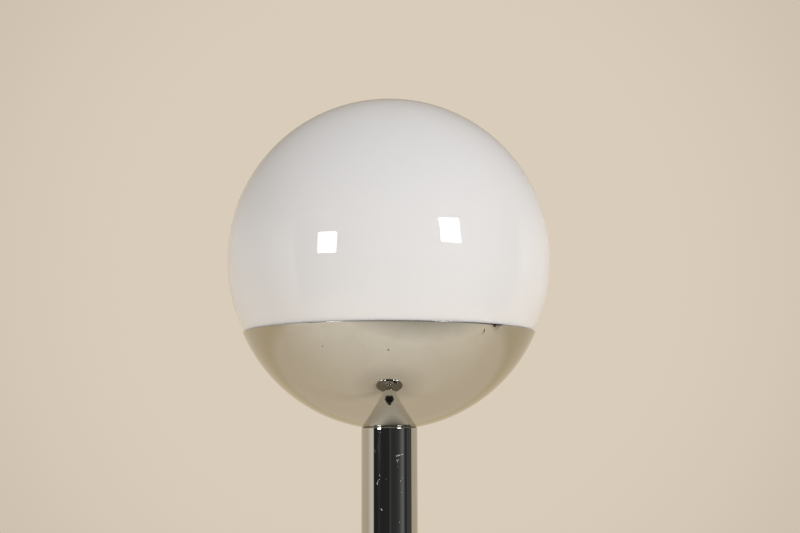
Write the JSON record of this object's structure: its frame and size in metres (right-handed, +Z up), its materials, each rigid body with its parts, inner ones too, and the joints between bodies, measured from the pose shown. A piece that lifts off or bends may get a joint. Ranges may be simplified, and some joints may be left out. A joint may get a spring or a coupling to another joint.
{
  "type": "globe floor lamp",
  "caption": "Floor lamp with a large white glass globe resting in a mirror-plated bowl on a thick plated column with a low round foot and a black dimmer knob on the column.",
  "frame": {"origin": "centre of the foot, at the floor", "axes": "+Z up along the column, -Y the front with the knob, +Y the back with the cord's inlet"},
  "size_m": [0.3499, 0.3498, 1.4],
  "materials": {
    "opal_glass": "polished white opal",
    "chrome": "mirror, with fine wear",
    "cast_iron": "raw casting, painted dark",
    "zinc_steel": "zinc plated",
    "cast_aluminium": "turned",
    "felt": "wool felt",
    "black_plastic": "moulded",
    "white_plastic": "moulded",
    "brass": "plain",
    "clear_rubber": "soft, translucent",
    "bakelite": "moulded",
    "porcelain": "glazed",
    "frosted_glass": "frosted",
    "clear_glass": "clear",
    "tungsten": "drawn wire",
    "cap_aluminium": "rolled",
    "black_glass": "fused",
    "solder": "tinned",
    "lead_sheath": "smooth sheath"
  },
  "bodies": {
    "stand": {"felt_pad": "felt", "closing_plate": "zinc_steel", "closing_screws": "zinc_steel", "base_weight": "cast_iron", "base_cover": "chrome", "cord_gland": "black_plastic", "terminal_block": "white_plastic", "terminal_screws": "zinc_steel", "earth_tag": "brass", "earth_screw": "zinc_steel", "lower_washer": "zinc_steel", "lower_nut": "zinc_steel", "tie_rod": "zinc_steel", "seat_ring": "black_plastic", "column_foot": "cast_aluminium", "column_tube": "chrome", "column_head": "cast_aluminium", "bowl": "chrome", "bowl_saddle": "zinc_steel", "upper_washer": "zinc_steel", "upper_nut": "brass", "globe_gasket": "clear_rubber", "holder_locknut": "brass", "holder_cap": "bakelite", "holder_insert": "porcelain", "holder_contact": "brass", "holder_thread": "brass", "holder_sleeve": "bakelite", "holder_ring": "bakelite", "dimmer_body": "bakelite", "dimmer_bush": "brass", "dimmer_washer": "zinc_steel", "dimmer_nut": "brass", "dimmer_tabs": "brass", "riser_lead": "lead_sheath", "dimmer_leads": "lead_sheath"},
    "globe": {"globe": "opal_glass"},
    "bulb": {"bulb_glass": "frosted_glass", "bulb_stem": "clear_glass", "bulb_filament": "tungsten", "bulb_cap": "cap_aluminium", "bulb_insulator": "black_glass", "bulb_tip": "solder"},
    "knob": {"dimmer_spindle": "cast_aluminium", "dimmer_knob": "black_plastic"}
  },
  "joints": [
    {"name": "globe_lift", "type": "slide", "parent": "stand", "child": "globe", "axis": [0, 0, 1], "range_m": [0, 0.35]},
    {"name": "bulb_out", "type": "slide", "parent": "stand", "child": "bulb", "axis": [0, 0, 1], "range_m": [0, 0.05]},
    {"name": "knob_turn", "type": "hinge", "parent": "stand", "child": "knob", "pos_m": [0, -0.0345, 0.908], "axis": [0, 1, 0], "range_deg": [0, 270]}
  ]
}
